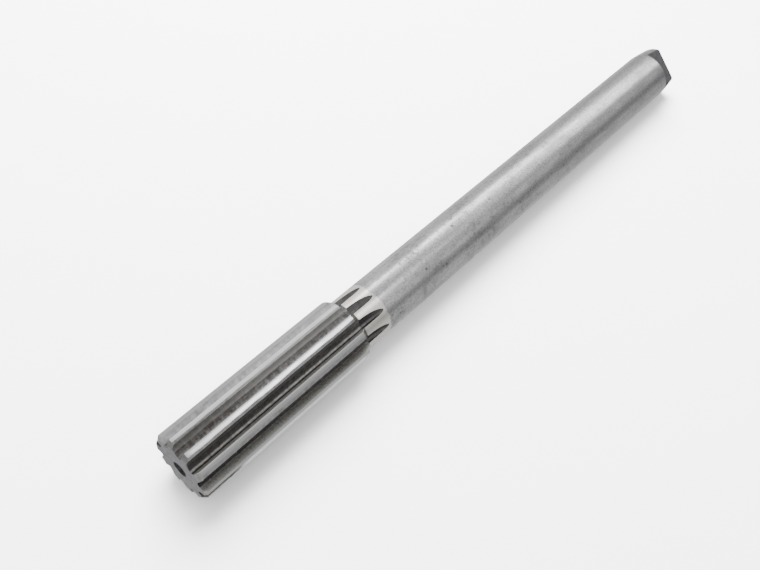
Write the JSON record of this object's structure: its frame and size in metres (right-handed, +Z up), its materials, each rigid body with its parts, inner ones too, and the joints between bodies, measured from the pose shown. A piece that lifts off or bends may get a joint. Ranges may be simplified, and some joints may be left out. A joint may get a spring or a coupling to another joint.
{
  "type": "machine reamer",
  "caption": "Straight-shank machine reamer with straight unequally spaced teeth, bevel lead, milled run-outs and a driving tang, lying on its side.",
  "frame": {"origin": "on the plane it lies on, below the middle of its length", "axes": "+X along the reamer from the cutting end to the tang, within half a degree; +Z up; +Y to its far side"},
  "size_m": [0.2176, 0.019, 0.019],
  "materials": {
    "ground_steel": "ground high-speed steel, bright on the lands and neck, mottled grey on the worn shank, dark in the flutes"
  },
  "bodies": {
    "root": {"reamer": "ground_steel"}
  },
  "joints": []
}
